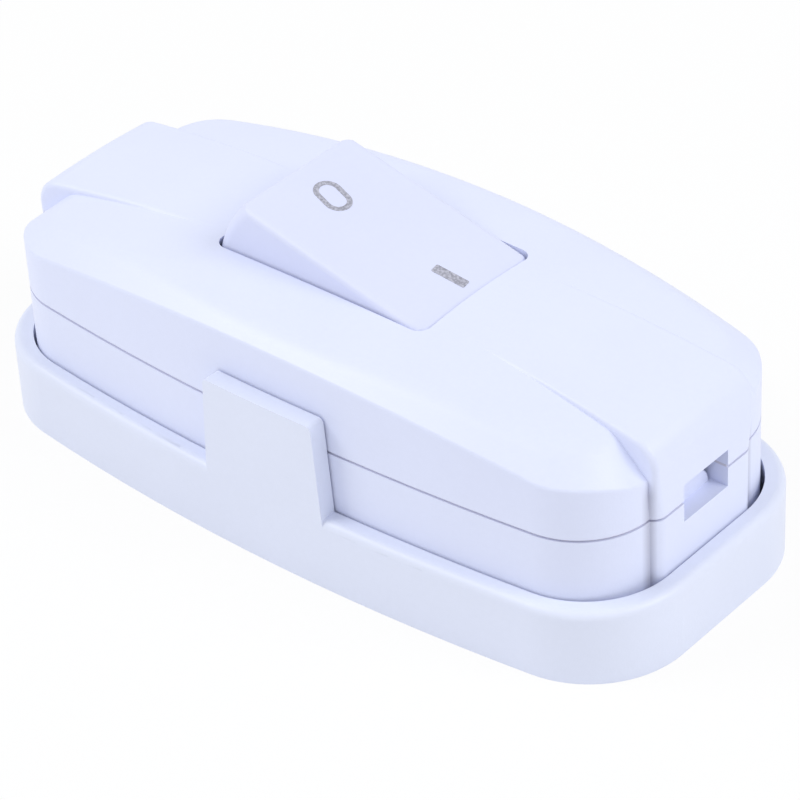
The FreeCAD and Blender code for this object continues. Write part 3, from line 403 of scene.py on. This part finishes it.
def studio_table():
    """White table. The camera sees most of it as plain white, so the shadow stays light."""
    shape = bmesh.new()
    bmesh.ops.create_grid(shape, x_segments=1, y_segments=1, size=TABLE_HALF)
    finish = new_finish("studio_table")
    paper = finish.add("ShaderNodeBsdfDiffuse", {}, {"Color": TABLE_PAPER})
    glow = finish.add("ShaderNodeEmission", {}, {"Color": WHITE, "Strength": 1.0})
    share = looked_at(finish) * TABLE_GLOW
    finish.close(finish.add("ShaderNodeMixShader", {}, {0: share, 1: paper, 2: glow}))
    floor = new_piece("studio_table", shape, finish.owner)


def studio_sky():
    """Even light from all round; the camera and mirrors see it white."""
    world = bpy.data.worlds.new("studio_sky")
    bpy.context.scene.world = world
    sky = Finish(world)
    lit = sky.add(
        "ShaderNodeBackground", {}, {"Color": [*LIGHT_TINT, 1.0], "Strength": SKY_STRENGTH},
    )
    white = sky.add("ShaderNodeBackground", {}, {"Color": WHITE, "Strength": 1.0})
    mixed = sky.add("ShaderNodeMixShader", {}, {0: looked_at(sky), 1: lit, 2: white})
    sky.add("ShaderNodeOutputWorld", {}, {"Surface": mixed})


def soft_lamp(name, place, across, power):
    """Square lamp of a given width that faces the switch."""
    data = bpy.data.lights.new(name, "AREA")
    data.size = across
    data.energy = power
    data.color = LIGHT_TINT
    lamp = bpy.data.objects.new(name, data)
    lamp.location = place
    lamp.rotation_mode = "QUATERNION"
    lamp.rotation_quaternion = (-Vector(place)).to_track_quat("-Z", "Y")
    bpy.context.scene.collection.objects.link(lamp)


studio_table()
studio_sky()
soft_lamp("left_lamp", (-0.45, -0.40, 0.60), 0.42, 2.5)
soft_lamp("right_lamp", (0.56, 0.18, 0.52), 0.42, 2.15)


# The photograph's camera: the way it looks, and how far off it stands from the point it looks at
CAMERA_AZIMUTH = math.radians(42.115)
CAMERA_ELEVATION = math.radians(35.563)
CAMERA_ROLL = math.radians(-3.304)
CAMERA_DISTANCE = 365.668 * MM
AIM_HEIGHT = 12.0 * MM
AIM_RIGHT = 1.437 * MM
AIM_DOWN = 3.249 * MM
LENS = 159.763
SENSOR_WIDTH = 36.0


def photo_camera():
    """Looks down at the near right corner from a little over a third of a metre."""
    back = Vector((
        math.sin(CAMERA_AZIMUTH) * math.cos(CAMERA_ELEVATION),
        -math.cos(CAMERA_AZIMUTH) * math.cos(CAMERA_ELEVATION),
        math.sin(CAMERA_ELEVATION),
    ))
    level = Vector((math.cos(CAMERA_AZIMUTH), math.sin(CAMERA_AZIMUTH), 0))
    upright = back.cross(level)
    aim = Vector((0, 0, AIM_HEIGHT)) + level * AIM_RIGHT - upright * AIM_DOWN
    rolled_level = level * math.cos(CAMERA_ROLL) + upright * math.sin(CAMERA_ROLL)
    rolled_upright = upright * math.cos(CAMERA_ROLL) - level * math.sin(CAMERA_ROLL)
    data = bpy.data.cameras.new("photo_camera")
    data.sensor_width = SENSOR_WIDTH
    data.lens = LENS
    data.clip_start = 0.01
    data.clip_end = 20.0
    camera = bpy.data.objects.new("photo_camera", data)
    axes = Matrix((rolled_level, rolled_upright, back)).transposed()
    camera.matrix_world = Matrix.Translation(aim + back * CAMERA_DISTANCE) @ axes.to_4x4()
    bpy.context.scene.collection.objects.link(camera)
    bpy.context.scene.camera = camera


photo_camera()
bpy.context.scene.view_settings.view_transform = "Standard"
